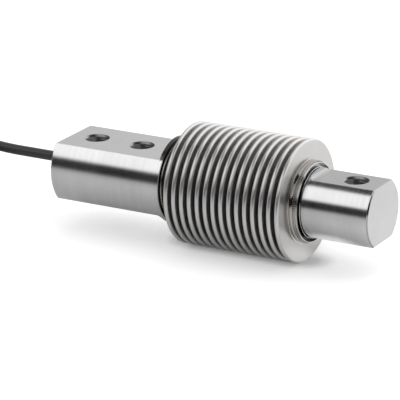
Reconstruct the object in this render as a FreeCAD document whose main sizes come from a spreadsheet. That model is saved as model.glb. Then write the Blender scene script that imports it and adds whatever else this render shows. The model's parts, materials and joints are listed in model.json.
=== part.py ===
import FreeCAD, Part
import math
import os
import re
import Sketcher

# A strain gauge load cell: a stainless steel bending beam whose gauged middle is sealed in a
# welded metal bellows. The fixed shank has two bolt holes and the cable gland, the load shank
# has one bolt hole.
#
# Sketches use the beam's own frame: x runs from the fixed end face to the load end face along
# the bellows' axis, y across the flats, z through the bolt holes. Each piece's Placement then
# moves it to the part's frame, where the bellows' crests rest on z = 0 below the middle.

SIZES = {
    # Fixed shank, milled flat on two sides up to a round flange
    "fixed_flat_depth": 5.0,
    "fixed_flat_length": 41.4,
    "flange_width": 1.45,
    "flange_rise": 1.4,
    # Load shank, milled flat on two sides up to a round ring, inside a recess in the bellows' seat
    "load_diameter": 24.0,
    "load_flat_depth": 2.0,
    "load_flat_length": 24.1,
    "load_ring_width": 0.65,
    "rim_height": 0.1,
    "rim_width": 0.25,
    "recess_gap": 1.2,
    "recess_depth": 1.4,
    "lip_thickness": 0.3,
    "lip_length": 0.7,
    # Both shanks
    "foot_radius": 1.5,
    "end_chamfer": 0.45,
    "flange_chamfer": 0.2,
    # Bolt holes
    "hole_diameter": 8.2,
    "hole_chamfer": 0.25,
    "first_hole_inset": 10.0,
    "hole_spacing": 18.0,
    "load_hole_inset": 10.0,
    # Bellows and its seats
    "seat_reach": 0.5,
    "cuff_clearance": 0.05,
    "bellows_wall": 0.25,
    "root_step": 1.1,
    "convolution_height": 6.0,
    "crest_pitch": 3.0,
    "crest_count": 15,
    "crest_width": 1.6,
    "cuff_fillet": 0.5,
    "fixed_cuff_length": 4.55,
    "load_cuff_length": 1.6,
    "weld_width": 0.8,
    "weld_height": 0.45,
    # Gauged middle of the beam, a square bar whose corners stay inside the round seats
    "corner_inset": 0.87,
    "beam_foot_radius": 1.0,
    "thinning_diameter": 11.0,
    "thinning_spacing": 20.0,
    "slot_height": 3.5,
    # Strain gauges, compensation board and flat leads
    "gauge_length": 6.0,
    "gauge_width": 3.0,
    "gauge_thickness": 0.15,
    "board_length": 11.0,
    "board_width": 10.0,
    "board_thickness": 0.8,
    "lead_width": 1.4,
    "lead_thickness": 0.2,
    "resistor_length": 3.2,
    "resistor_width": 1.6,
    "resistor_height": 0.6,
    "resistor_gap": 1.4,
    "terminal_diameter": 1.3,
    "terminal_height": 0.3,
    "terminal_spacing": 2.0,
    "terminal_inset": 1.5,
    # Cable channel and gland
    "channel_inset": 0.4,
    "channel_drop": 2.2,
    "channel_diameter": 4.6,
    "channel_runout": 4.0,
    "channel_clearance": 1.2,
    "gland_diameter": 7.4,
    "grommet_thickness": 2.2,
    "washer_thickness": 0.5,
    "gland_screw_length": 2.3,
    "gland_screw_bore": 4.0,
    "spanner_slot_width": 1.2,
    "spanner_slot_depth": 0.9,
    "potting_length": 6.0,
    "sheath_inside_length": 36.0,
    # Cable
    "cable_diameter": 3.6,
    "core_diameter": 0.6,
    "core_pitch": 0.95,
    "coil_radius": 21.6,
    "coil_width": 14.4,
    "coil_height": 21.6,
    "coil_corner": 1.0,
    "tie_thickness": 0.6,
    "tie_width": 4.0,
    "core_bend": 8.0,
    "core_fan": 3.0,
    "ferrule_diameter": 1.5,
    "ferrule_length": 8.0,
}

# Stations along the beam, each measured from the fixed end face, and sizes that follow others
PLACES = {
    "flange_end": "fixed_flat_length + flange_width",
    "fixed_cuff": "flange_end + weld_width",
    "first_crest": "fixed_cuff + fixed_cuff_length + crest_width / 2",
    "last_crest": "first_crest + (crest_count - 1) * crest_pitch",
    "load_cuff": "last_crest + crest_width / 2 + load_cuff_length",
    "load_seat": "load_cuff + weld_width",
    "lip_end": "load_seat + lip_length",
    "rim_end": "lip_end + rim_width",
    "load_shoulder": "rim_end + rim_height + load_ring_width",
    "overall_length": "load_shoulder + load_flat_length",
    "load_radius": "load_diameter / 2",
    "rim_radius": "load_radius + rim_height",
    "lip_radius": "rim_radius + recess_gap",
    "seat_radius": "lip_radius + lip_thickness",
    "fixed_radius": "seat_radius + flange_rise",
    "fixed_half_flat": "fixed_radius - fixed_flat_depth",
    "load_half_flat": "load_radius - load_flat_depth",
    "root_radius": "seat_radius + cuff_clearance + bellows_wall + root_step",
    "crest_radius": "root_radius + convolution_height",
    "beam_half": "(seat_radius - corner_inset) / sqrt(2) - beam_foot_radius",
    "channel_side": "beam_half - channel_inset",
    "second_hole": "first_hole_inset + hole_spacing",
    "load_hole": "overall_length - load_hole_inset",
    "beam_start": "first_crest + seat_reach",
    "beam_end": "last_crest - seat_reach",
    "beam_middle": "(first_crest + last_crest) / 2",
    "fixed_gauge": "beam_middle - thinning_spacing / 2",
    "load_gauge": "beam_middle + thinning_spacing / 2",
    "gland_depth": "gland_screw_length + washer_thickness + grommet_thickness",
    "grommet_start": "gland_screw_length + washer_thickness",
    "board_face": "beam_half + board_thickness",
    "terminal_station": "beam_middle - board_length / 2 + terminal_inset",
    "resistor_shift": "(resistor_width + resistor_gap) / 2",
    "resistor_station": "beam_middle + terminal_inset",
}

CORE_NAMES = ["red", "black", "green", "white"]

doc = FreeCAD.newDocument("strain_gauge_load_cell")
sheet = doc.addObject("Spreadsheet::Sheet", "sizes")
for row, (alias, value) in enumerate(SIZES.items(), 1):
    sheet.set("A%d" % row, alias)
    sheet.set("B%d" % row, str(value))
    sheet.setAlias("B%d" % row, alias)
doc.recompute()

pieces = []


def bound(formula):
    """The formula with its places written out and its sizes pointed at the sheet."""
    def spell(match):
        word = match.group(0)
        if word in PLACES:
            return "(" + bound(PLACES[word]) + ")"
        return "sizes." + word if word in SIZES else word
    return re.sub(r"[a-z_]+", spell, str(formula))


def size(formula):
    """The number that a formula gives."""
    return float(sheet.evalExpression(bound(formula)))


def place(piece):
    """Moves a finished piece from the beam's frame to the part's frame and keeps it."""
    piece.setExpression("Placement.Base.x", bound("-overall_length / 2"))
    piece.setExpression("Placement.Base.z", bound("crest_radius"))
    pieces.append(piece)
    return piece


def new_body(label):
    body = doc.addObject("PartDesign::Body", label)
    body.Label = label
    return place(body)


def new_sketch(body, name, role, offset=None):
    """A sketch on one of the body's own origin planes, moved along its normal by a formula."""
    sketch = body.newObject("Sketcher::SketchObject", name)
    plane = next(item for item in body.Origin.OriginFeatures if item.Role == role)
    sketch.AttachmentSupport = (plane, [""])
    sketch.MapMode = "FlatFace"
    if offset is not None:
        sketch.setExpression("AttachmentOffset.Base.z", bound(offset))
    return sketch


def pin(sketch, geometry, point, across, along):
    """Holds a point of a sketch at a pair of formulas measured from the origin."""
    for kind, formula, axis in (("DistanceX", across, -2), ("DistanceY", along, -1)):
        value = size(formula)
        if formula == "0":
            sketch.addConstraint(Sketcher.Constraint("PointOnObject", geometry, point, axis))
        else:
            constraint = Sketcher.Constraint(kind, -1, 1, geometry, point, value)
            index = sketch.addConstraint(constraint)
            sketch.setExpression("Constraints[%d]" % index, bound(formula))


def draw_outline(sketch, corners):
    """A closed run of straight edges through corners given as pairs of formulas."""
    first = sketch.GeometryCount
    count = len(corners)
    points = [FreeCAD.Vector(size(across), size(along), 0) for across, along in corners]
    for index in range(count):
        sketch.addGeometry(Part.LineSegment(points[index], points[(index + 1) % count]))
    for index in range(count):
        following = first + (index + 1) % count
        sketch.addConstraint(Sketcher.Constraint("Coincident", first + index, 2, following, 1))
    for index, (across, along) in enumerate(corners):
        pin(sketch, first + index, 1, across, along)
    return sketch


def draw_circle(sketch, across, along, diameter):
    centre = FreeCAD.Vector(size(across), size(along), 0)
    circle = Part.Circle(centre, FreeCAD.Vector(0, 0, 1), size(diameter) / 2)
    index = sketch.addGeometry(circle)
    pin(sketch, index, 3, across, along)
    ring = sketch.addConstraint(Sketcher.Constraint("Diameter", index, size(diameter)))
    sketch.setExpression("Constraints[%d]" % ring, bound(diameter))
    return sketch


def rectangle(start, end, low, high):
    return [(start, low), (end, low), (end, high), (start, high)]


def turn(body, name, corners):
    """Adds the solid that an outline in the XZ plane sweeps around the beam's axis."""
    sketch = draw_outline(new_sketch(body, name + "_sketch", "XZ_Plane"), corners)
    solid = body.newObject("PartDesign::Revolution", name)
    solid.Profile = sketch
    solid.ReferenceAxis = (sketch, ["H_Axis"])
    solid.Angle = 360
    doc.recompute()
    return solid


def pad(body, sketch, name, length, both_ways=False, backwards=False):
    solid = body.newObject("PartDesign::Pad", name)
    solid.Profile = sketch
    solid.SideType = "Symmetric" if both_ways else "One side"
    solid.Reversed = backwards
    solid.setExpression("Length", bound(length))
    doc.recompute()
    return solid


def cut(body, sketch, name, depth=None, backwards=False):
    """Cuts a sketch out of the body, right through both ways unless a depth is given."""
    before = body.Shape.Volume
    pocket = body.newObject("PartDesign::Pocket", name)
    pocket.Profile = sketch
    if depth is None:
        pocket.SideType = "Symmetric"
        pocket.Type = "ThroughAll"
    else:
        pocket.Reversed = backwards
        pocket.setExpression("Length", bound(depth))
    doc.recompute()
    if not body.Shape.Volume < before:
        raise ValueError(name + " cuts nothing")
    return pocket


def mirror(body, name, feature, role):
    """Repeats a cut on the other side of one of the body's origin planes."""
    copy = body.newObject("PartDesign::Mirrored", name)
    copy.Originals = [feature]
    plane = next(item for item in body.Origin.OriginFeatures if item.Role == role)
    copy.MirrorPlane = (plane, [""])
    body.Tip = copy
    doc.recompute()
    return copy


def edges_where(feature, test):
    """The names of a feature's edges whose curve and middle point pass a test."""
    names = []
    for number, edge in enumerate(feature.Shape.Edges, 1):
        middle = edge.valueAt((edge.FirstParameter + edge.LastParameter) / 2)
        if test(edge.Curve, middle):
            names.append("Edge%d" % number)
    if not names:
        raise ValueError("no edge of %s passes" % feature.Name)
    return names


def same(first, second):
    return abs(first - second) < 1e-4


def fillet(body, name, names, radius):
    base = body.Tip
    feature = body.newObject("PartDesign::Fillet", name)
    feature.Base = (base, names)
    feature.setExpression("Radius", bound(radius))
    doc.recompute()
    return feature


def chamfer(body, name, names, width):
    base = body.Tip
    feature = body.newObject("PartDesign::Chamfer", name)
    feature.Base = (base, names)
    feature.setExpression("Size", bound(width))
    doc.recompute()
    return feature


def mill(body, name, role, mirror_role, start, end, half_width, outside):
    """Mills the same flat on opposite sides of the bar between two stations."""
    sketch = new_sketch(body, name + "_sketch", role)
    draw_outline(sketch, rectangle(start, end, half_width, outside))
    return mirror(body, name + "_opposite", cut(body, sketch, name), mirror_role)


def measuring_beam():
    """The bar that everything hangs on, turned from round stock and then milled."""
    body = new_body("measuring_beam")
    turn(body, "turned_bar", [
        ("0", "0"),
        ("0", "fixed_radius"),
        ("flange_end - flange_chamfer", "fixed_radius"),
        ("flange_end", "fixed_radius - flange_chamfer"),
        ("flange_end", "seat_radius"),
        ("lip_end", "seat_radius"),
        ("lip_end", "lip_radius"),
        ("lip_end - recess_depth", "lip_radius"),
        ("lip_end - recess_depth", "rim_radius"),
        ("rim_end", "rim_radius"),
        ("rim_end + rim_height", "load_radius"),
        ("overall_length", "load_radius"),
        ("overall_length", "0"),
    ])

    mill(body, "fixed_flat", "XZ_Plane", "XY_Plane", "0", "fixed_flat_length",
         "fixed_half_flat", "2 * fixed_radius")
    mill(body, "load_flat", "XZ_Plane", "XY_Plane", "load_shoulder", "overall_length",
         "load_half_flat", "2 * load_radius")
    mill(body, "beam_top", "XZ_Plane", "XY_Plane", "beam_start", "beam_end",
         "beam_half", "2 * seat_radius")
    # Sketches on the XY plane measure y upwards, so the same outline mills the sides
    mill(body, "beam_side", "XY_Plane", "XZ_Plane", "beam_start", "beam_end",
         "beam_half", "2 * seat_radius")

    shoulders = ((size("fixed_flat_length"), size("fixed_half_flat")),
                 (size("load_shoulder"), size("load_half_flat")))
    fillet(body, "shoulder_feet", edges_where(body.Tip, lambda curve, middle: (
        curve.TypeId == "Part::GeomLine"
        and any(same(middle.x, station) and same(abs(middle.z), flat)
                for station, flat in shoulders))), "foot_radius")

    feet = (size("beam_start"), size("beam_end"))
    half = size("beam_half")
    fillet(body, "beam_feet", edges_where(body.Tip, lambda curve, middle: (
        curve.TypeId == "Part::GeomLine" and any(same(middle.x, foot) for foot in feet)
        and (same(abs(middle.z), half) or same(abs(middle.y), half)))), "beam_foot_radius")

    ends = (0.0, size("overall_length"))
    chamfer(body, "end_edges", edges_where(body.Tip, lambda curve, middle: (
        any(same(middle.x, end) for end in ends))), "end_chamfer")

    holes = new_sketch(body, "bolt_holes_sketch", "XY_Plane")
    for station in ("first_hole_inset", "second_hole", "load_hole"):
        draw_circle(holes, station, "0", "hole_diameter")
    cut(body, holes, "bolt_holes")
    hole_radius = size("hole_diameter / 2")
    chamfer(body, "hole_mouths", edges_where(body.Tip, lambda curve, middle: (
        curve.TypeId == "Part::GeomCircle" and same(curve.Radius, hole_radius)
        and any(same(abs(middle.z), flat) for station, flat in shoulders))), "hole_chamfer")

    bores = new_sketch(body, "thinning_bores_sketch", "XZ_Plane")
    for station in ("fixed_gauge", "load_gauge"):
        draw_circle(bores, station, "0", "thinning_diameter")
    cut(body, bores, "thinning_bores")
    slot = new_sketch(body, "joining_slot_sketch", "XZ_Plane")
    draw_outline(slot, rectangle("fixed_gauge", "load_gauge", "-slot_height / 2", "slot_height / 2"))
    cut(body, slot, "joining_slot")

    # The YZ plane's normal is +x, so these cuts run backwards into the bar
    channel = new_sketch(body, "cable_channel_sketch", "YZ_Plane")
    draw_circle(channel, "channel_side", "-channel_drop", "channel_diameter")
    cut(body, channel, "cable_channel", "beam_start + channel_runout", backwards=True)
    gland = new_sketch(body, "gland_bore_sketch", "YZ_Plane")
    draw_circle(gland, "channel_side", "-channel_drop", "gland_diameter")
    cut(body, gland, "gland_bore", "gland_depth", backwards=True)
    return body


def bellows():
    """The corrugated sleeve: valleys between crest centres, and a cuff at each end."""
    body = new_body("bellows")
    crest = "crest_radius"
    root = "root_radius"
    inner_crest = "(crest_radius - bellows_wall)"
    inner_root = "(root_radius - bellows_wall)"
    half_crest = "crest_width / 2"
    inner_half_crest = "(crest_width / 2 - bellows_wall)"

    start = "first_crest"
    end = "first_crest + crest_pitch"
    turn(body, "first_valley", [
        (start, crest),
        (start + " + " + half_crest, crest),
        (start + " + " + half_crest, root),
        (end + " - " + half_crest, root),
        (end + " - " + half_crest, crest),
        (end, crest),
        (end, inner_crest),
        (end + " - " + inner_half_crest, inner_crest),
        (end + " - " + inner_half_crest, inner_root),
        (start + " + " + inner_half_crest, inner_root),
        (start + " + " + inner_half_crest, inner_crest),
        (start, inner_crest),
    ])
    valleys = body.newObject("PartDesign::LinearPattern", "valleys")
    valleys.Originals = [doc.getObject("first_valley")]
    valleys.Direction = (doc.getObject("first_valley_sketch"), ["H_Axis"])
    valleys.setExpression("Length", bound("(crest_count - 2) * crest_pitch"))
    valleys.setExpression("Occurrences", bound("crest_count - 1"))
    body.Tip = valleys
    doc.recompute()

    for name, crest_station, cuff_station, outward in (
            ("fixed_cuff", "first_crest", "fixed_cuff", "-"),
            ("load_cuff", "last_crest", "load_cuff", "+")):
        cuff_inside = "seat_radius + cuff_clearance"
        cuff_outside = cuff_inside + " + bellows_wall"
        wall = crest_station + outward + half_crest
        inner_wall = crest_station + outward + inner_half_crest
        turn(body, name, [
            (crest_station, crest),
            (wall, crest),
            (wall, cuff_outside + " + cuff_fillet"),
            (wall + outward + "cuff_fillet", cuff_outside),
            (cuff_station, cuff_outside),
            (cuff_station, cuff_inside),
            (inner_wall + outward + "cuff_fillet", cuff_inside),
            (inner_wall, cuff_outside + " + cuff_fillet - bellows_wall"),
            (inner_wall, inner_crest),
            (crest_station, inner_crest),
        ])
    return body


def weld_bead(label, cuff_station, seat_edge):
    """The bead that joins a cuff's end to the bar, with its outer corner melted off."""
    body = new_body(label)
    middle = "(" + cuff_station + " + " + seat_edge + ") / 2"
    inside = "seat_radius"
    outside = "seat_radius + weld_height"
    shoulder = "seat_radius + weld_height / 2"
    turn(body, label + "_turned", [
        (cuff_station, inside),
        (cuff_station, outside),
        (middle, outside),
        (seat_edge, shoulder),
        (seat_edge, inside),
    ])
    return body


def box(label, length, width, height, start, side, base):
    """A plain block given by formulas, from its lowest corner."""
    block = doc.addObject("Part::Box", label)
    block.Label = label
    for name, formula in (("Length", length), ("Width", width), ("Height", height)):
        block.setExpression(name, bound(formula))
    block.setExpression("Placement.Base.x", bound(start + " - overall_length / 2"))
    block.setExpression("Placement.Base.y", bound(side))
    block.setExpression("Placement.Base.z", bound(base + " + crest_radius"))
    pieces.append(block)
    return block


def strain_gauges():
    """Four foil gauges, bonded over and under the two thin stretches of the beam."""
    for end, station in (("fixed", "fixed_gauge"), ("load", "load_gauge")):
        for face, base in (("upper", "beam_half"),
                           ("lower", "-beam_half - gauge_thickness")):
            box("%s_gauge_%s_end" % (face, end), "gauge_length", "gauge_width",
                "gauge_thickness", station + " - gauge_length / 2", "-gauge_width / 2", base)


def flat_leads():
    """Flat leads from the gauges, over the beam's edge and down its side to the board."""
    for end, start in (("fixed", "fixed_gauge + gauge_length / 2"),
                       ("load", "load_gauge - gauge_length / 2 - lead_width")):
        for face, sign in (("upper", ""), ("lower", "-")):
            label = "%s_lead_%s_end" % (face, end)
            body = new_body(label)
            sketch = new_sketch(body, label + "_sketch", "YZ_Plane", start)
            inside = "beam_half"
            outside = "(beam_half + lead_thickness)"
            draw_outline(sketch, [
                ("-gauge_width / 2", sign + inside),
                (inside, sign + inside),
                (inside, sign + "board_width / 2"),
                (outside, sign + "board_width / 2"),
                (outside, sign + outside),
                ("-gauge_width / 2", sign + outside),
            ])
            pad(body, sketch, label + "_pad", "lead_width")


def compensation_board():
    """The bridge board on the beam's side, over the slot, with its resistors and terminals."""
    box("compensation_board", "board_length", "board_thickness", "board_width",
        "beam_middle - board_length / 2", "beam_half", "-board_width / 2")
    for label, sign in (("zero_trim_resistor", ""), ("span_trim_resistor", "-")):
        box(label, "resistor_length", "resistor_height", "resistor_width", "resistor_station",
            "board_face", sign + "resistor_shift - resistor_width / 2")

    body = new_body("solder_terminals")
    # The XZ plane's normal is -y, so the terminals stand up backwards from the board
    sketch = new_sketch(body, "solder_terminals_sketch", "XZ_Plane", "-board_face")
    for index in range(len(CORE_NAMES)):
        draw_circle(sketch, "terminal_station", core_terminal(index), "terminal_diameter")
    pad(body, sketch, "solder_terminals_pad", "terminal_height", backwards=True)


def core_terminal(index):
    """How high a core's solder terminal lies on the board."""
    return "(%.1f) * terminal_spacing" % (1.5 - index)


def ring(label, start, length, outside, inside, slotted=False):
    """A ring in the gland bore, on the cable's line."""
    body = new_body(label)
    sketch = new_sketch(body, label + "_sketch", "YZ_Plane", start)
    draw_circle(sketch, "channel_side", "-channel_drop", outside)
    draw_circle(sketch, "channel_side", "-channel_drop", inside)
    pad(body, sketch, label + "_pad", length)
    if slotted:
        slot = new_sketch(body, label + "_slot_sketch", "YZ_Plane", start)
        low = "-channel_drop - spanner_slot_width / 2"
        high = "-channel_drop + spanner_slot_width / 2"
        draw_outline(slot, rectangle("channel_side - gland_diameter",
                                     "channel_side + gland_diameter", low, high))
        cut(body, slot, label + "_slot", "spanner_slot_depth", backwards=True)
    return body


def gland():
    """A hollow screw presses a washer on the rubber ring that seals the cable."""
    ring("gland_screw", "0", "gland_screw_length", "gland_diameter", "gland_screw_bore",
         slotted=True)
    ring("thrust_washer", "gland_screw_length", "washer_thickness", "gland_diameter",
         "gland_screw_bore")
    ring("seal_grommet", "grommet_start", "grommet_thickness", "gland_diameter",
         "cable_diameter")


def feature(label, shape):
    """A piece whose shape is worked out here, moved to the part's frame."""
    piece = doc.addObject("Part::Feature", label)
    piece.Label = label
    piece.Shape = shape
    return place(piece)


def tube(points, diameter, largest=math.inf):
    """A round tube along straight runs, joined by the largest arcs that there is room for."""
    edges = []
    start = points[0]
    for index in range(1, len(points) - 1):
        before = points[index] - points[index - 1]
        after = points[index + 1] - points[index]
        turn_angle = before.getAngle(after)
        shorter = min(before.Length, after.Length)
        radius = min(0.45 * shorter / math.tan(turn_angle / 2), largest)
        inward = radius * math.tan(turn_angle / 2)
        into = points[index] - before.normalize() * inward
        out = points[index] + after.normalize() * inward
        bisector = (out + into) * 0.5 - points[index]
        depth = radius / math.cos(turn_angle / 2) - radius
        edges.append(Part.LineSegment(start, into).toShape())
        edges.append(Part.Arc(into, points[index] + bisector.normalize() * depth, out).toShape())
        start = out
        print("arc radius %.1f mm in a tube of %.1f mm" % (radius, diameter))
    edges.append(Part.LineSegment(start, points[-1]).toShape())
    path = Part.Wire(edges)
    heading = points[1] - points[0]
    section = Part.Wire([Part.Circle(points[0], heading, diameter / 2).toShape()])
    solid = path.makePipeShell([section], True, False)
    expected = math.pi * diameter ** 2 / 4 * path.Length
    if abs(solid.Volume / expected - 1) > 0.01:
        raise ValueError("a tube's volume is off")
    return solid


def channel_point(station, offset=FreeCAD.Vector()):
    """A point on the cable channel's line."""
    return FreeCAD.Vector(station, size("channel_side"), -size("channel_drop")) + offset


def cable_inside():
    """The sheathed cable in the channel, its resin plug and the cores up to the board."""
    sheath_end = size("sheath_inside_length")
    feature("cable_entry", Part.makeCylinder(
        size("cable_diameter") / 2, sheath_end, channel_point(0), FreeCAD.Vector(1, 0, 0)))

    plug = Part.makeCylinder(size("channel_diameter") / 2, size("potting_length"),
                             channel_point(sheath_end), FreeCAD.Vector(1, 0, 0))
    core_diameter = size("core_diameter")
    side = size("board_face + terminal_height") + core_diameter / 2
    cores = []
    for index, name in enumerate(CORE_NAMES):
        # The cores lie one above the other and stay so, without crossing
        level = FreeCAD.Vector(0, 0, (1.5 - index) * size("core_pitch"))
        terminal = FreeCAD.Vector(size("terminal_station"), side, size(core_terminal(index)))
        leaving = channel_point(size("beam_start - channel_clearance"), level)
        beyond = channel_point(size("fixed_gauge"), level)
        beyond.y = side
        core = tube([channel_point(sheath_end, level), leaving, beyond, terminal],
                    core_diameter, size("core_bend"))
        cores.append(core)
        feature("%s_core" % name, core)
    for core in cores:
        plug = plug.cut(core)
    feature("potting_plug", plug)


# The route of the cable outside: straight out of the gland, then level to the top of its coil.
# It leaves the coil's lowest turn at an angle counted from the part's x axis.
LEAD_POINTS = [(0.0, 7.6, -1.9), (-33.0, 7.6, -1.9), (-66.9, 18.0, -0.8)]
TAIL_ANGLE = math.radians(110.0)
TAIL_LENGTH = 20.0
CORE_REACH = 18.0


def cable_outside():
    """The lead, the coil of the length that is put away, its tie and the stripped end."""
    diameter = size("cable_diameter")
    exit_point = channel_point(0)
    shift = exit_point - FreeCAD.Vector(*LEAD_POINTS[0])
    points = [FreeCAD.Vector(*point) + shift for point in LEAD_POINTS]
    lead = tube(points, diameter)
    feature("cable_lead", lead)

    # The coil lies on its tie, and the lead runs along its top outer turn where they meet
    coil_base = size("tie_thickness - crest_radius")
    outer_turn = size("coil_radius + coil_width / 2") - diameter / 2
    inward = FreeCAD.Vector(0, 0, 1).cross(points[-1] - points[-2]).normalize()
    centre = points[-1] + inward * outer_turn
    centre.z = coil_base
    bundle = coil_ring(centre, 0.0, 360.0)

    outward = FreeCAD.Vector(math.cos(TAIL_ANGLE), math.sin(TAIL_ANGLE), 0)
    heading = FreeCAD.Vector(0, 0, 1).cross(outward)
    tail_start = centre + outward * outer_turn + FreeCAD.Vector(0, 0, diameter / 2)
    tail_end = tail_start + heading * TAIL_LENGTH
    tail = Part.makeCylinder(diameter / 2, TAIL_LENGTH, tail_start, heading)
    feature("cable_tail", tail)
    feature("cable_coil", bundle.cut(lead).cut(tail))

    tie_angle = math.degrees(size("tie_width") / size("coil_radius"))
    band = coil_ring(centre, size("tie_thickness"), tie_angle)
    feature("coil_tie", band.cut(coil_ring(centre, 0.0, 360.0)))

    # The cores fan out straight from the sheath's end and sink to the surface
    core_diameter = size("core_diameter")
    half = size("core_pitch") / 2
    low = coil_base + size("ferrule_diameter") / 2
    ferrules = []
    for index, name in enumerate(CORE_NAMES):
        root = tail_end + outward * (half if index < 2 else -half)
        root.z += half if index % 2 else -half
        tip = tail_end + heading * CORE_REACH + outward * ((1.5 - index) * size("core_fan"))
        tip.z = low
        ferrule = Part.makeCylinder(size("ferrule_diameter") / 2, size("ferrule_length"),
                                    tip, heading)
        ferrules.append(ferrule)
        core = tube([root, tip], core_diameter)
        feature("%s_core_end" % name, core.cut(tail).cut(ferrule))
    feature("core_ferrules", Part.makeCompound(ferrules))


def coil_ring(centre, growth, angle):
    """The coil's outer shape, or a stretch of it, grown all round by a thickness."""
    inner = size("coil_radius - coil_width / 2") - growth
    outer = size("coil_radius + coil_width / 2") + growth
    low = -growth
    high = size("coil_height") + growth
    corner = size("coil_corner")
    section = [(inner + corner, low), (outer - corner, low), (outer, low + corner),
               (outer, high - corner), (outer - corner, high), (inner + corner, high),
               (inner, high - corner), (inner, low + corner), (inner + corner, low)]
    points = [centre + FreeCAD.Vector(along, 0, up) for along, up in section]
    face = Part.Face(Part.makePolygon(points))
    return face.revolve(centre, FreeCAD.Vector(0, 0, 1), angle)


measuring_beam()
bellows()
weld_bead("fixed_weld_bead", "fixed_cuff", "flange_end")
weld_bead("load_weld_bead", "load_cuff", "load_seat")
strain_gauges()
compensation_board()
flat_leads()
gland()
cable_inside()
cable_outside()
doc.recompute()

for item in doc.Objects:
    if "Invalid" in item.State or "Error" in item.State:
        raise ValueError("%s failed: %s" % (item.Name, item.State))

os.makedirs("parts", exist_ok=True)
for piece in pieces:
    shape = piece.Shape
    if shape.isNull() or not shape.isValid() or not shape.Solids:
        raise ValueError(piece.Label + " has no valid shape")
    print("%-28s %2d solid(s) %10.1f mm3" % (piece.Label, len(shape.Solids), shape.Volume))
    shape.exportStep("parts/%s.step" % piece.Label)
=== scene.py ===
import bmesh
import bpy
import json
import math
from mathutils import Matrix, Vector


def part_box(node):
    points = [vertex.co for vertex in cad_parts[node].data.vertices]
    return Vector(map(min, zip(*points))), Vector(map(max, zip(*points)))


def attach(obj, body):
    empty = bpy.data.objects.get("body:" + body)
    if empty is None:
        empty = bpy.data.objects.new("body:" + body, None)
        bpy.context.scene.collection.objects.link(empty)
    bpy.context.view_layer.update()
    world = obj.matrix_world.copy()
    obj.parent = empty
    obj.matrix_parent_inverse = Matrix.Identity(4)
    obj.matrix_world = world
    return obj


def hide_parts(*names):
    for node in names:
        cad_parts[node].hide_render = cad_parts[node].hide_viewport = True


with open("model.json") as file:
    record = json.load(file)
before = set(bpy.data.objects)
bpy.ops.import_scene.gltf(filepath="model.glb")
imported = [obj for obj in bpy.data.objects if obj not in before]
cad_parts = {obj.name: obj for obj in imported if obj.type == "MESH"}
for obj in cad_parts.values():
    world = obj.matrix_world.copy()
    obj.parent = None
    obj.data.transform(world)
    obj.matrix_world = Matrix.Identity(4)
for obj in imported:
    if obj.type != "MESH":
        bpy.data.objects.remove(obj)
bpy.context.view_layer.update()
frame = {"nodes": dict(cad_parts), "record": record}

# Every size is in metres. The frame's x = 0 is the middle of the bar, and the bellows' axis runs
# along x at the height of its own radius
MM = 0.001
BELLOWS_LOW, BELLOWS_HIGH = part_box("bellows")
BEAM_LOW, BEAM_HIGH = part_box("measuring_beam")
AXIS_HEIGHT = (BELLOWS_LOW[2] + BELLOWS_HIGH[2]) / 2

# The bar's stations along x, its flats and its bolt holes
FIXED_SHOULDER = BEAM_LOW[0] + 41.4 * MM
FLANGE_END = BEAM_LOW[0] + 42.85 * MM
LIP_END = BEAM_LOW[0] + 94.9 * MM
LOAD_SHOULDER = BEAM_LOW[0] + 95.9 * MM
LIP_INSIDE = 13.3 * MM
RECESS_DEPTH = 2.0 * MM
FOOT_LENGTH = 1.6 * MM
FLAT_HEIGHT = 10.0 * MM
HOLE_RADIUS = 4.1 * MM
HOLE_CHAMFER = 0.25 * MM
HOLE_SPACING = 18.0 * MM
FIRST_HOLE = BEAM_LOW[0] + 10.0 * MM
SECOND_HOLE = FIRST_HOLE + HOLE_SPACING
LOAD_HOLE = BEAM_HIGH[0] - 10.0 * MM
MOUTH_DEPTH = 0.85 * MM

# The bellows
CREST_RADIUS = (BELLOWS_HIGH[2] - BELLOWS_LOW[2]) / 2
ROOT_RADIUS = 15.0 * MM
CUFF_RADIUS = 13.9 * MM
WALL = 0.25 * MM
CREST_COUNT = 15
CREST_PITCH = 3.0 * MM
CREST_HALF_WIDTH = 0.80 * MM
FLANK_SLOPE = 0.20 * MM
FIRST_CREST = BEAM_LOW[0] + 49.0 * MM
LAST_CREST = FIRST_CREST + (CREST_COUNT - 1) * CREST_PITCH
FIXED_CUFF_FOOT = 1.0 * MM
LOAD_CUFF_FOOT = 0.5 * MM
CREST_STEPS, ROOT_STEPS, FOOT_STEPS = 12, 8, 6
TURN_STEPS = 120
MERGE_DISTANCE = 0.0001 * MM

# The camera, fitted to the photograph's edges and holes
CAMERA_AZIMUTH = math.radians(29.789)
CAMERA_ELEVATION = math.radians(18.983)
CAMERA_ROLL = math.radians(-0.749)
CAMERA_ACROSS = 44.15 * MM
CAMERA_ABOVE = -13.50 * MM
CAMERA_DISTANCE = 992.65 * MM
CAMERA_RANGE = 20.0
FOCAL_PIXELS = 2849.4
IMAGE_PIXELS = 400
SENSOR_WIDTH = 36.0

# The cable
CABLE_DIAMETER = 3.6 * MM

# The floor and the lamp above it
FLOOR_SIZE = 6.0
LAMP_SIZE = 1.2
LAMP_POWER = 2.0
LAMP_PLACE = (0.20, 0.35, 0.90)
LAMP_TARGET = (0.0, 0.0, 0.02)


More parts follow.
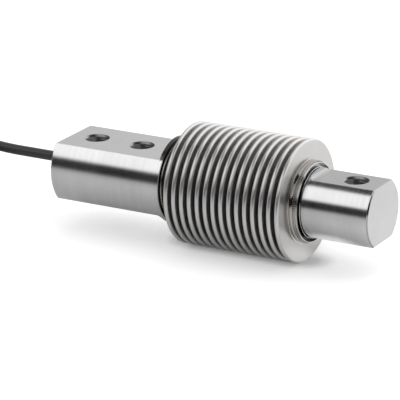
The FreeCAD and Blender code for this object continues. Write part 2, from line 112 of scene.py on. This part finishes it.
class Value:
    """A socket that takes part in Python arithmetic by adding maths nodes."""

    def __init__(self, shading, socket):
        self.shading = shading
        self.socket = socket

    def maths(self, operation, *others):
        terms = dict(enumerate((self,) + others))
        return self.shading.node("ShaderNodeMath", {"operation": operation}, terms)

    def __add__(self, other):
        return self.maths("ADD", other)

    def __radd__(self, other):
        return self.maths("ADD", other)

    def __sub__(self, other):
        return self.maths("SUBTRACT", other)

    def __rsub__(self, other):
        return (self * -1.0).maths("ADD", other)

    def __mul__(self, other):
        return self.maths("MULTIPLY", other)

    def __rmul__(self, other):
        return self.maths("MULTIPLY", other)

    def __rmul__(self, other):
        return self.maths("MULTIPLY", other)

    def __truediv__(self, other):
        return self.maths("DIVIDE", other)

    def above(self, limit, softness):
        """0 below the limit and 1 above it, over a soft step."""
        return ((self - limit) / softness + 0.5).maths("MAXIMUM", 0.0).maths("MINIMUM", 1.0)

    def between(self, low, high, softness, softness_at_high=None):
        """1 between two limits and 0 outside them, over soft steps."""
        return self.above(low, softness) * (1.0 - self.above(high, softness_at_high or softness))


class Shading:
    """The node tree of a material or of the world, and the one way to add a node to it."""

    def __init__(self, tree):
        self.tree = tree

    def feed(self, socket, item):
        """Links a value to a socket, or sets the socket's own number or colour."""
        if isinstance(item, Value):
            self.tree.links.new(item.socket, socket)
        elif isinstance(item, tuple):
            socket.default_value = (*item, 1.0)
        else:
            socket.default_value = item

    def node(self, kind, settings=None, sockets=None, output=0):
        """Adds a node: its settings come first, then the values or links of its sockets."""
        node = self.tree.nodes.new(kind)
        for key, value in (settings or {}).items():
            if key == "stops":
                marks = node.color_ramp.elements
                while len(marks) < len(value):
                    marks.new(0.5)
                for mark, (place, color) in zip(marks, value):
                    mark.position = place
                    mark.color = (*color, 1.0)
            else:
                setattr(node, key, value)
        for key, item in (sockets or {}).items():
            self.feed(node.inputs[key], item)
        return Value(self, node.outputs[output])

    def parts(self, vector):
        """The x, y and z of a vector."""
        split = self.node("ShaderNodeSeparateXYZ", sockets={0: vector})
        return [Value(self, socket) for socket in split.socket.node.outputs]

    def ray(self, name):
        """1 for one kind of ray, such as the camera's, and 0 for the others."""
        return self.node("ShaderNodeLightPath", output=name)


class Finish(Shading):
    """A material on one Principled shader: its plain look first, which its nodes then vary."""

    def __init__(self, name, color, roughness, metallic=0.0):
        self.material = bpy.data.materials.new(name)
        self.material.use_nodes = True
        self.material.diffuse_color = (*color, 1.0)
        super().__init__(self.material.node_tree)
        self.set("Base Color", color)
        self.set("Roughness", roughness)
        self.set("Metallic", metallic)

    def set(self, name, item):
        self.feed(self.tree.nodes["Principled BSDF"].inputs[name], item)

    def position(self):
        """The x, y and z of a point, in metres, with z counted from the bellows' axis."""
        x, y, z = self.parts(self.node("ShaderNodeTexCoord", output="Object"))
        return x, y, z - AXIS_HEIGHT

    def noise(self, x, y, z, detail=2.0, roughness=0.5, scale=1.0):
        place = self.node("ShaderNodeCombineXYZ", sockets={"X": x, "Y": y, "Z": z})
        return self.node("ShaderNodeTexNoise", sockets={
            "Vector": place, "Scale": scale, "Detail": detail, "Roughness": roughness})

    def mix(self, factor, first, second):
        """The first colour at 0 and the second at 1."""
        return self.node("ShaderNodeMix", {"data_type": "RGBA"},
                         {0: factor, 6: first, 7: second}, output=2)

    def bump(self, height, distance):
        self.set("Normal", self.node("ShaderNodeBump", sockets={
            "Height": height, "Distance": distance}))


def grey(level):
    return (level, level, level)


def hole_mask_and_painted_light(finish, x, y, z):
    """The bolt holes: a mask of them, their walls' painted light and shade, the height up the
    mouths.
    """
    drop = z.maths("ABSOLUTE")
    # Along the bar from the nearest hole's centre, and away from that hole's axis
    along = (x - FIRST_HOLE - x.above((FIRST_HOLE + SECOND_HOLE) / 2, 0.1 * MM) * HOLE_SPACING
             - x.above(0.0, 0.1 * MM) * (LOAD_HOLE - SECOND_HOLE))
    from_axis = (along * along + y * y).maths("SQRT")
    in_hole = 1.0 - from_axis.above(HOLE_RADIUS + HOLE_CHAMFER + 0.07 * MM, 0.08 * MM)
    # Painted light and shade: the bore bright on one side, and lit tool-mark rings on the other
    across = along * 0.87 + y * 0.5
    tool_marks = finish.noise(0.0, 0.0, z * 1600.0, detail=1.0).above(0.55, 0.1)
    lighter = (1.0 - across.above(-0.6 * MM, 0.9 * MM)
               + across.above(1.2 * MM, 0.6 * MM) * tool_marks * 0.7)
    bore = finish.mix(lighter, (0.25, 0.24, 0.24), (0.95, 0.94, 0.93))
    # Painted highlights and shade round the mouth: the broken edge light, dark, light, dark again
    edge = finish.mix(across.above(-0.3 * MM, 1.4 * MM), grey(0.06), grey(0.44))
    edge = finish.mix(across.above(2.9 * MM, 1.2 * MM), edge, grey(0.14))
    edge = finish.mix(across.above(-3.0 * MM, 1.0 * MM), grey(0.50), edge)
    mouth_start = FLAT_HEIGHT - MOUTH_DEPTH
    wall = finish.mix(drop.above(mouth_start, 0.1 * MM), bore, edge)
    mouth = (drop - mouth_start).maths("MAXIMUM", 0.0) * in_hole
    return in_hole, wall, mouth


def weld_tint_and_painted_shade(x, y, z):
    """Painted shade, with heat tinting beside the flange: there, on the flange's rim and in the
    recess.
    """
    radius = (y * y + z * z).maths("SQRT")
    face = FLANGE_END - 0.04 * MM
    # The groove beside the flange: heat tinting and painted shade
    beside_flange = x.between(face, face + 1.2 * MM, 0.06 * MM, 0.1 * MM)
    # The flange's rim is painted dark, as shade
    on_rim = (x.between(FIXED_SHOULDER + 0.1 * MM, face, 0.1 * MM, 0.04 * MM)
              * z.above(FLAT_HEIGHT - 0.1 * MM, 0.6 * MM) * 0.95)
    # The recess is painted dark as shade, less so toward the top
    in_recess = (x.between(LIP_END - RECESS_DEPTH, LIP_END + 0.05 * MM, 0.1 * MM, 0.05 * MM)
                 * (1.0 - radius.above(LIP_INSIDE + 0.05 * MM, 0.05 * MM))
                 * (1.0 - z.above(8.0 * MM, 6.0 * MM) * 0.6))
    return beside_flange + in_recess + on_rim


def painted_shade_on_edges(x, z):
    """Painted shade dimming the rounded feet of both shoulders and the load end's broken edge."""
    at_feet = z.maths("ABSOLUTE").above(FLAT_HEIGHT + 0.06 * MM, 0.06 * MM) * (
        x.between(FIXED_SHOULDER - FOOT_LENGTH, FIXED_SHOULDER, 0.1 * MM, 0.04 * MM)
        + x.between(LOAD_SHOULDER, LOAD_SHOULDER + FOOT_LENGTH, 0.04 * MM, 0.1 * MM))
    end = BEAM_HIGH[0]
    return at_feet + x.between(end - 0.42 * MM, end - 0.03 * MM, 0.06 * MM, 0.03 * MM)


def beam_steel():
    """Turned and milled stainless steel: rings on the round, straight grain on the flats."""
    finish = Finish("beam_steel", (0.70, 0.70, 0.695), 0.24, 1.0)
    x, y, z = finish.position()
    on_flat = z.maths("ABSOLUTE").between(FLAT_HEIGHT - 0.1 * MM, FLAT_HEIGHT + 0.1 * MM, 0.1 * MM)
    in_hole, hole_wall_painted_light, mouth = hole_mask_and_painted_light(finish, x, y, z)
    rings = finish.noise(x * 5000.0, y * 12.0, z * 12.0, detail=3.0)
    bands = finish.noise(x * 900.0, y * 30.0, z * 30.0, detail=4.0, roughness=0.7)
    grain = finish.noise(x * 240.0, y * 3000.0, z * 40.0, detail=3.0)
    cloud = finish.noise(x, y, z, detail=3.0, scale=90.0)
    lathe_marks = rings * 0.5 + bands * 0.5
    marks = grain * on_flat + lathe_marks * (1.0 - on_flat)
    polished = finish.mix(marks * 0.7 + cloud * 0.3, grey(0.46), grey(0.96))
    milled = finish.mix(marks, (0.60, 0.595, 0.595), (0.72, 0.715, 0.715))
    # The load shank's flats are darker than the fixed shank's
    on_load_shank = x.above(LOAD_SHOULDER + 1.1 * MM, 3.0 * MM)
    milled = finish.mix(on_load_shank * 0.30, milled, grey(0.10))
    shade = finish.mix(on_flat, polished, milled)
    # The bolt holes' walls and mouths carry painted light and shade
    shade = finish.mix(in_hole, shade, hole_wall_painted_light)
    # Painted shade tones down the highlights on the shoulders' feet and the end's edge
    shade = finish.mix(painted_shade_on_edges(x, z) * 0.6, shade, grey(0.22))
    # Nearly black: painted shade in the grooves and the recess, heat tinting beside the flange
    finish.set("Base Color", finish.mix(weld_tint_and_painted_shade(x, y, z), shade, (0.04, 0.034, 0.03)))
    finish.set("Roughness", 0.09 + marks * 0.11 + cloud * 0.04 + on_flat * 0.14 + in_hole * 0.30)
    finish.bump(marks * 0.003 - mouth * (0.58 / MM), 1.0 * MM)
    return finish.material


def bellows_steel():
    """Formed sheet: smooth crests, rougher roots, painted light and shade, brown heat tinting on
    both cuffs.
    """
    finish = Finish("bellows_steel", (0.66, 0.66, 0.65), 0.25, 1.0)
    x, y, z = finish.position()
    radius = (y * y + z * z).maths("SQRT")
    on_disc = x.above(LAST_CREST + CREST_HALF_WIDTH * 0.8, 0.2 * MM)
    height = radius.above((CREST_RADIUS + ROOT_RADIUS) / 2, CREST_RADIUS - ROOT_RADIUS)
    height = height.maths("MAXIMUM", on_disc)
    on_cuff = 1.0 - radius.above(CUFF_RADIUS + WALL, 0.3 * MM)
    cloud = finish.noise(x * 500.0, y * 60.0, z * 60.0, detail=3.0)
    streaks = finish.noise(x * 60.0, y * 900.0, z * 900.0)
    rings = finish.noise(x * 2600.0, y * 20.0, z * 20.0)
    satin_and_painted_shade = finish.mix(cloud, (0.72, 0.71, 0.70), (0.84, 0.83, 0.82))
    # Painted shade: the end disc and the top of the crests a little darker
    satin_and_painted_shade = finish.mix(on_disc * 0.15, satin_and_painted_shade, grey(0.30))
    crown = z.above(17.0 * MM, 8.0 * MM) * (1.0 - on_disc)
    satin_and_painted_shade = finish.mix(crown * 0.20, satin_and_painted_shade, grey(0.30))
    # Painted light and shade: the roots dark low down and pale at the top
    roots = finish.mix(z.above(12.0 * MM, 12.0 * MM), (0.36, 0.355, 0.35), (0.92, 0.91, 0.90))
    heat_tint_and_top_shade = finish.mix(rings.above(0.5, 0.25), (0.30, 0.275, 0.25), (0.72, 0.70, 0.68))
    # Painted shade: the cuffs darker toward the top
    heat_tint_and_top_shade = finish.mix(z.above(5.0 * MM, 8.0 * MM) * 0.55, heat_tint_and_top_shade, (0.10, 0.095, 0.09))
    finish.set("Base Color", finish.mix(on_cuff, finish.mix(height, roots, satin_and_painted_shade), heat_tint_and_top_shade))
    finish.set("Roughness", 0.27 + cloud * 0.06 + (1.0 - height) * 0.13 - on_cuff * 0.25)
    finish.bump(streaks * 0.0006 + rings * on_cuff * 0.02, 1.0 * MM)
    return finish.material


def weld_steel():
    """Ripples of a fine weld run, with straw and brown heat tinting and painted shade toward the
    top.
    """
    finish = Finish("weld_steel", (0.5, 0.46, 0.42), 0.3, 1.0)
    x, y, z = finish.position()
    ripple = (y.maths("ARCTAN2", z) * 120.0).maths("SINE") * 0.5 + 0.5
    cloud = finish.noise(x, y, z, detail=3.0, scale=260.0)
    rings = finish.noise(x * 3000.0, y * 20.0, z * 20.0)
    heat_tint_and_top_shade = finish.mix(cloud, (0.52, 0.48, 0.44), (0.70, 0.67, 0.64))
    heat_tint_and_top_shade = finish.mix(rings.above(0.5, 0.25), (0.26, 0.235, 0.21), heat_tint_and_top_shade)
    # Painted shade: the weld darker toward the top
    heat_tint_and_top_shade = finish.mix(z.above(5.0 * MM, 8.0 * MM) * 0.5, heat_tint_and_top_shade, (0.10, 0.09, 0.08))
    finish.set("Base Color", heat_tint_and_top_shade)
    finish.set("Roughness", 0.12 + cloud * 0.15)
    finish.bump(ripple * 0.02 + cloud * 0.01 + rings * 0.03, 1.0 * MM)
    return finish.material


def gland_steel():
    finish = Finish("gland_steel", (0.66, 0.66, 0.65), 0.3, 1.0)
    x, y, z = finish.position()
    grain = finish.noise(x * 200.0, y * 900.0, z * 900.0)
    finish.set("Roughness", 0.22 + grain * 0.15)
    finish.bump(grain, 0.004 * MM)
    return finish.material


def solder_metal():
    finish = Finish("solder", (0.72, 0.72, 0.71), 0.25, 1.0)
    x, y, z = finish.position()
    cloud = finish.noise(x, y, z, scale=1500.0)
    finish.set("Roughness", 0.18 + cloud * 0.2)
    finish.bump(cloud, 0.02 * MM)
    return finish.material


def moulded(name, color, roughness=0.45, fineness=900.0, depth=0.01 * MM):
    """A moulded, cast or lacquered finish with a faint grain."""
    finish = Finish(name, color, roughness)
    x, y, z = finish.position()
    grain = finish.noise(x, y, z, detail=3.0, scale=fineness)
    pale = tuple(min(1.0, part * 1.35 + 0.004) for part in color)
    finish.set("Base Color", finish.mix(grain, color, pale))
    finish.set("Roughness", grain * 0.14 + (roughness - 0.07))
    finish.bump(grain, depth)
    return finish.material


FINISHES = {
    "beam_steel": beam_steel(),
    "bellows_steel": bellows_steel(),
    "weld_steel": weld_steel(),
    "gland_steel": gland_steel(),
    "solder": solder_metal(),
    "ferrule_metal": solder_metal(),
    "gauge_foil": moulded("gauge_foil", (0.62, 0.33, 0.09), 0.4),
    "flat_lead": moulded("flat_lead", (0.55, 0.27, 0.07), 0.4),
    "board_laminate": moulded("board_laminate", (0.03, 0.17, 0.07), 0.35),
    "resistor_black": moulded("resistor_black", (0.02, 0.02, 0.02), 0.4),
    "seal_rubber": moulded("seal_rubber", (0.02, 0.02, 0.02), 0.6),
    "potting_resin": moulded("potting_resin", (0.03, 0.03, 0.028), 0.3),
    "sheath": moulded("sheath", (0.022, 0.022, 0.024), 0.38, 2500.0, 0.006 * MM),
    "tie_plastic": moulded("tie_plastic", (0.015, 0.015, 0.015), 0.4),
    "core_red": moulded("core_red", (0.45, 0.015, 0.015), 0.35),
    "core_black": moulded("core_black", (0.012, 0.012, 0.012), 0.35),
    "core_green": moulded("core_green", (0.01, 0.20, 0.04), 0.35),
    "core_white": moulded("core_white", (0.75, 0.75, 0.73), 0.35),
}


def dress_frame():
    """Every node of the frame gets the finish of its material slot."""
    for part in frame["record"]["subparts"]:
        piece = frame["nodes"][part["node"]]
        for holder in piece.material_slots:
            holder.material = FINISHES[part["material_slot"]]


def add_piece(name, data):
    piece = bpy.data.objects.new(name, data)
    bpy.context.scene.collection.objects.link(piece)
    return piece


def arc(centre_x, centre_r, radius, start, end, steps):
    """Points of an arc in the profile plane, by its angles in degrees from the axis' direction."""
    points = []
    for step in range(steps + 1):
        angle = math.radians(start + (end - start) * step / steps)
        points.append((centre_x + radius * math.cos(angle), centre_r + radius * math.sin(angle)))
    return points


def bellows_profile():
    """The sleeve's outer line: round crests and roots, nearly straight walls, and two cuffs."""
    root_round = CREST_PITCH / 2 - CREST_HALF_WIDTH - FLANK_SLOPE
    first_wall = FIRST_CREST - CREST_HALF_WIDTH
    last_wall = LAST_CREST + CREST_HALF_WIDTH
    line = [(BELLOWS_LOW[0], CUFF_RADIUS)]
    line += arc(first_wall - FIXED_CUFF_FOOT, CUFF_RADIUS + FIXED_CUFF_FOOT, FIXED_CUFF_FOOT,
                -90, 0, FOOT_STEPS)
    for crest in range(CREST_COUNT):
        middle = FIRST_CREST + crest * CREST_PITCH
        line += arc(middle, CREST_RADIUS - CREST_HALF_WIDTH, CREST_HALF_WIDTH, 180, 0, CREST_STEPS)
        if crest < CREST_COUNT - 1:
            line += arc(middle + CREST_PITCH / 2, ROOT_RADIUS + root_round, root_round,
                        180, 360, ROOT_STEPS)
    line += arc(last_wall + LOAD_CUFF_FOOT, CUFF_RADIUS + LOAD_CUFF_FOOT, LOAD_CUFF_FOOT,
                180, 270, FOOT_STEPS)
    line.append((BELLOWS_HIGH[0], CUFF_RADIUS))
    return line


def inner_profile(outer):
    """The outer line moved inwards by the sheet's thickness."""
    inner = []
    for index, (x, radius) in enumerate(outer):
        before = outer[max(index - 1, 0)]
        after = outer[min(index + 1, len(outer) - 1)]
        along = Vector((after[0] - before[0], after[1] - before[1])).normalized()
        inner.append((x + along.y * WALL, radius - along.x * WALL))
    return inner


def turned(name, outline):
    """A mesh from a closed outline of (x, radius) points turned round the bellows' axis."""
    mesh = bpy.data.meshes.new(name)
    shape = bmesh.new()
    verts = [shape.verts.new((x, 0.0, AXIS_HEIGHT + radius)) for x, radius in outline]
    for vert, following in zip(verts, verts[1:] + verts[:1]):
        shape.edges.new((vert, following))
    bmesh.ops.spin(shape, geom=shape.verts[:] + shape.edges[:], cent=(0.0, 0.0, AXIS_HEIGHT),
                   axis=(1.0, 0.0, 0.0), angle=math.tau, steps=TURN_STEPS, use_merge=True)
    bmesh.ops.remove_doubles(shape, verts=shape.verts[:], dist=MERGE_DISTANCE)
    bmesh.ops.recalc_face_normals(shape, faces=shape.faces[:])
    for face in shape.faces:
        face.smooth = True
    shape.to_mesh(mesh)
    shape.free()
    return mesh


def bellows_sleeve():
    """The bellows with its true round crests and roots. The inner wall takes every other point."""
    outer = bellows_profile()
    outline = outer + inner_profile(outer)[::-2]
    piece = add_piece("bellows_sleeve", turned("bellows_sleeve", outline))
    piece.data.materials.append(FINISHES["bellows_steel"])
    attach(piece, "root")
    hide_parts("bellows")


# The cable's route in the part's frame, in millimetres: straight out of the gland, then level
# to the coil's top outer turn. The coil is wound in flat layers, in and out by turns, and the
# bare end leaves its lowest outer turn along the surface
LEAD_ROUTE = [(-60.0, 7.6, 18.8), (-78.0, 7.6, 18.8), (-96.0, 7.8, 18.8), (-110.0, 12.6, 19.1)]
COIL_CENTRE = (-134.8, -7.8)
COIL_LOW = 2.4
TURN_PITCH = 3.6
COIL_LAYERS = 6
COIL_COLUMNS = 4
OUTER_TURN = 27.0
TAIL_LENGTH = 20.0
LEAD_ANGLE = 73.0
TAIL_ANGLE = 110.0
# Where round the coil, in degrees, the turns step inward, drop outside, step outward and drop
# inside: in this order no turn crosses another
STEP_IN, DROP_OUTSIDE, STEP_OUT, DROP_INSIDE = 180.0, 270.0, 360.0, 450.0
STEP_WIDTH = 50.0
POINTS_PER_TURN = 18


def coil_steps():
    """Where the turns change column or layer: an angle and the two changes, for each step."""
    steps = []
    angle = STEP_IN
    for layer in range(COIL_LAYERS):
        inward = layer % 2 == 0
        for column in range(COIL_COLUMNS - 1):
            steps.append((angle, 1 if inward else -1, 0))
            angle += 360.0
        if layer < COIL_LAYERS - 1:
            drop, following = (DROP_INSIDE, STEP_OUT) if inward else (DROP_OUTSIDE, STEP_IN)
            angle -= 360.0
            angle += (drop - angle) % 360.0
            steps.append((angle, 0, 1))
            angle += (following - angle) % 360.0
    return steps


def coil_turns():
    """The coil's line from the lead to the tail."""
    steps = coil_steps()
    last = steps[-1][0]
    end = last + (TAIL_ANGLE - last) % 360.0
    points = []
    angle = LEAD_ANGLE
    while angle < end:
        column = layer = 0.0
        for centre, across, down in steps:
            share = min(max((angle - centre) / STEP_WIDTH + 0.5, 0.0), 1.0)
            share = share * share * (3.0 - 2.0 * share)
            column += across * share
            layer += down * share
        radius = OUTER_TURN - TURN_PITCH * column
        height = COIL_LOW + TURN_PITCH * (COIL_LAYERS - 1 - layer)
        spot = math.radians(angle)
        points.append((COIL_CENTRE[0] + radius * math.cos(spot),
                       COIL_CENTRE[1] + radius * math.sin(spot), height))
        angle += 360.0 / POINTS_PER_TURN
    return points


def tail_points():
    """The tangent stretch from the lowest outer turn to the sheath's end."""
    spot = math.radians(TAIL_ANGLE)
    start = (COIL_CENTRE[0] + OUTER_TURN * math.cos(spot),
             COIL_CENTRE[1] + OUTER_TURN * math.sin(spot))
    return [(start[0] - math.sin(spot) * reach, start[1] + math.cos(spot) * reach, COIL_LOW)
            for reach in (0.0, TAIL_LENGTH / 2, TAIL_LENGTH)]


def cable():
    """The sheathed cable from the gland to its bare end, as one smooth line."""
    route = LEAD_ROUTE + coil_turns() + tail_points()
    curve = bpy.data.curves.new("cable", "CURVE")
    curve.dimensions = "3D"
    curve.bevel_depth = CABLE_DIAMETER / 2
    curve.bevel_resolution = 6
    curve.use_fill_caps = True
    curve.resolution_u = 6
    spline = curve.splines.new("NURBS")
    spline.points.add(len(route) - 1)
    for point, place in zip(spline.points, route):
        point.co = (*(part * MM for part in place), 1.0)
    spline.order_u = 3
    spline.use_endpoint_u = True
    piece = add_piece("cable", curve)
    curve.materials.append(FINISHES["sheath"])
    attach(piece, "root")
    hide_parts("cable_lead", "cable_coil", "cable_tail")
    on_cable = ["coil_tie", "core_ferrules"]
    on_cable += [color + "_core_end" for color in ("red", "black", "green", "white")]


def place_camera():
    """The photograph's camera, from the fitted angles and distances."""
    back = Vector((math.sin(CAMERA_AZIMUTH) * math.cos(CAMERA_ELEVATION),
                   -math.cos(CAMERA_AZIMUTH) * math.cos(CAMERA_ELEVATION),
                   math.sin(CAMERA_ELEVATION)))
    level_right = Vector((0.0, 0.0, 1.0)).cross(back).normalized()
    level_up = back.cross(level_right)
    right = level_right * math.cos(CAMERA_ROLL) + level_up * math.sin(CAMERA_ROLL)
    up = level_up * math.cos(CAMERA_ROLL) - level_right * math.sin(CAMERA_ROLL)
    fixed_end = Vector((BEAM_LOW[0], 0.0, AXIS_HEIGHT))
    place = fixed_end + right * CAMERA_ACROSS + up * CAMERA_ABOVE + back * CAMERA_DISTANCE
    camera = bpy.data.cameras.new("camera")
    camera.sensor_width = SENSOR_WIDTH
    camera.lens = FOCAL_PIXELS / IMAGE_PIXELS * SENSOR_WIDTH
    camera.clip_end = CAMERA_RANGE
    holder = add_piece("camera", camera)
    holder.matrix_world = (Matrix.Translation(place)
                           @ Matrix((right, up, back)).transposed().to_4x4())
    bpy.context.scene.camera = holder


def floor_white():
    """White to the camera with the soft shadow kept, and grey in the object's reflections."""
    finish = Finish("floor_white", grey(0.80), 0.9)
    seen = finish.ray("Is Camera Ray")
    mirrored = finish.ray("Is Glossy Ray")
    x, y, z = finish.position()
    # What the steel mirrors: darker in front, and darker still far off
    behind = (y + x * 0.5).above(0.0, 100.0 * MM)
    far_off = (y * -1.0).above(300.0 * MM, 450.0 * MM)
    front = finish.mix(far_off, grey(0.54), grey(0.15))
    mirror_grey = finish.mix(behind, front, grey(0.80))
    finish.set("Base Color", finish.mix(mirrored, grey(0.80), mirror_grey))
    # What the camera sees: lifted to white, except near the bellows' contact: a painted contact
    # shadow
    crests_middle = (FIRST_CREST + LAST_CREST) / 2
    crests_reach = (LAST_CREST - FIRST_CREST) / 2 + 1.0 * MM
    beside = ((x - crests_middle).maths("ABSOLUTE") - crests_reach).maths("MAXIMUM", 0.0)
    from_contact = (beside * beside + y * y).maths("SQRT")
    lift = finish.mix(from_contact.above(6.5 * MM, 7.0 * MM), grey(0.04), grey(0.38))
    # A painted glow on the floor by the end disc's foot, seen only in reflections, lights the disc
    along = x - (LAST_CREST + 7.0 * MM)
    to_foot = (along * along + y * y).maths("SQRT")
    foot = finish.mix(to_foot.above(8.0 * MM, 7.0 * MM), grey(0.48), grey(0.0))
    glow = finish.mix(mirrored, grey(0.0), foot)
    finish.set("Emission Color", finish.mix(seen, glow, lift))
    finish.set("Emission Strength", 1.0)
    return finish.material


def floor():
    """The floor that takes the shadow."""
    mesh = bpy.data.meshes.new("floor")
    shape = bmesh.new()
    bmesh.ops.create_grid(shape, x_segments=1, y_segments=1, size=FLOOR_SIZE / 2)
    shape.to_mesh(mesh)
    shape.free()
    mesh.materials.append(floor_white())
    add_piece("floor", mesh)


def key_softbox():
    """The lamp above the object. The steel doesn't mirror it: that is left to the world."""
    light = bpy.data.lights.new("key_softbox", "AREA")
    light.energy = LAMP_POWER
    light.shape = "SQUARE"
    light.size = LAMP_SIZE
    holder = add_piece("key_softbox", light)
    holder.location = LAMP_PLACE
    holder.rotation_euler = (Vector(LAMP_TARGET) - Vector(LAMP_PLACE)).to_track_quat(
        "-Z", "Y").to_euler()
    holder.visible_glossy = False


# The studio's walls and ceiling as the steel mirrors them: brightness by elevation, in degrees
# above the horizon, and by the x part of the direction, from -1 to 1. The wall is before the
# object, the back behind it, and a pale panel stands low on the left, in front
WALL_LEVELS = [(0.0, 0.10), (4.0, 0.02), (19.0, 0.02), (26.0, 1.25), (57.0, 1.30), (61.0, 0.0),
               (80.0, 0.0), (88.0, 0.60)]
WALL_SIDES = [(-1.0, 0.35), (-0.75, 0.50), (-0.60, 0.90), (-0.50, 1.0), (-0.43, 1.0),
              (-0.32, 0.75), (-0.10, 0.50), (0.50, 0.55), (0.75, 0.30), (1.0, 0.20)]
BACK_LEVELS = [(0.0, 0.95), (19.0, 1.05), (30.0, 1.05), (55.0, 0.90), (76.0, 0.90)]
BACK_SIDES = [(-1.0, 0.22), (-0.85, 0.22), (-0.66, 0.35), (-0.52, 0.68), (-0.35, 0.84),
              (0.0, 1.35), (0.3, 1.35), (0.6, 1.05), (1.0, 0.95)]
PANEL_LEVELS = [(0.0, 0.60), (16.0, 0.60), (24.0, 0.0)]
PANEL_SIDES = [(-1.0, 1.0), (-0.85, 1.0), (-0.70, 0.0)]
# The world's strength for diffuse light, and as the camera's white background
AMBIENT = 0.98
WHITE = 1.0


def studio_world():
    """An even world for diffuse light and the background, with graded walls in reflections."""
    world = bpy.data.worlds.new("studio_world")
    world.use_nodes = True
    shading = Shading(world.node_tree)
    x, y, z = shading.parts(shading.node("ShaderNodeTexCoord", output="Generated"))

    def graded(share, levels):
        stops = [(place, grey(level)) for place, level in levels]
        return shading.node("ShaderNodeValToRGB", {"stops": stops}, {0: share})

    def wall(levels, sides):
        by_height = graded(z, [(math.sin(math.radians(elevation)), level)
                               for elevation, level in levels])
        by_side = graded(x * 0.5 + 0.5, [(side / 2 + 0.5, level) for side, level in sides])
        return by_height * by_side

    def blend(share, low, high):
        return (1.0 - share) * low + share * high

    front = wall(WALL_LEVELS, WALL_SIDES) + wall(PANEL_LEVELS, PANEL_SIDES)
    walls = blend(y.maths("GREATER_THAN", 0.0), front, wall(BACK_LEVELS, BACK_SIDES))
    lit = blend(shading.ray("Is Glossy Ray"), AMBIENT, walls)
    background = world.node_tree.nodes["Background"]
    shading.feed(background.inputs["Color"], grey(1.0))
    shading.feed(background.inputs["Strength"], blend(shading.ray("Is Camera Ray"), lit, WHITE))
    bpy.context.scene.world = world


place_camera()
dress_frame()
cable()
bellows_sleeve()
floor()
key_softbox()
studio_world()
bpy.context.scene.view_settings.view_transform = "Standard"
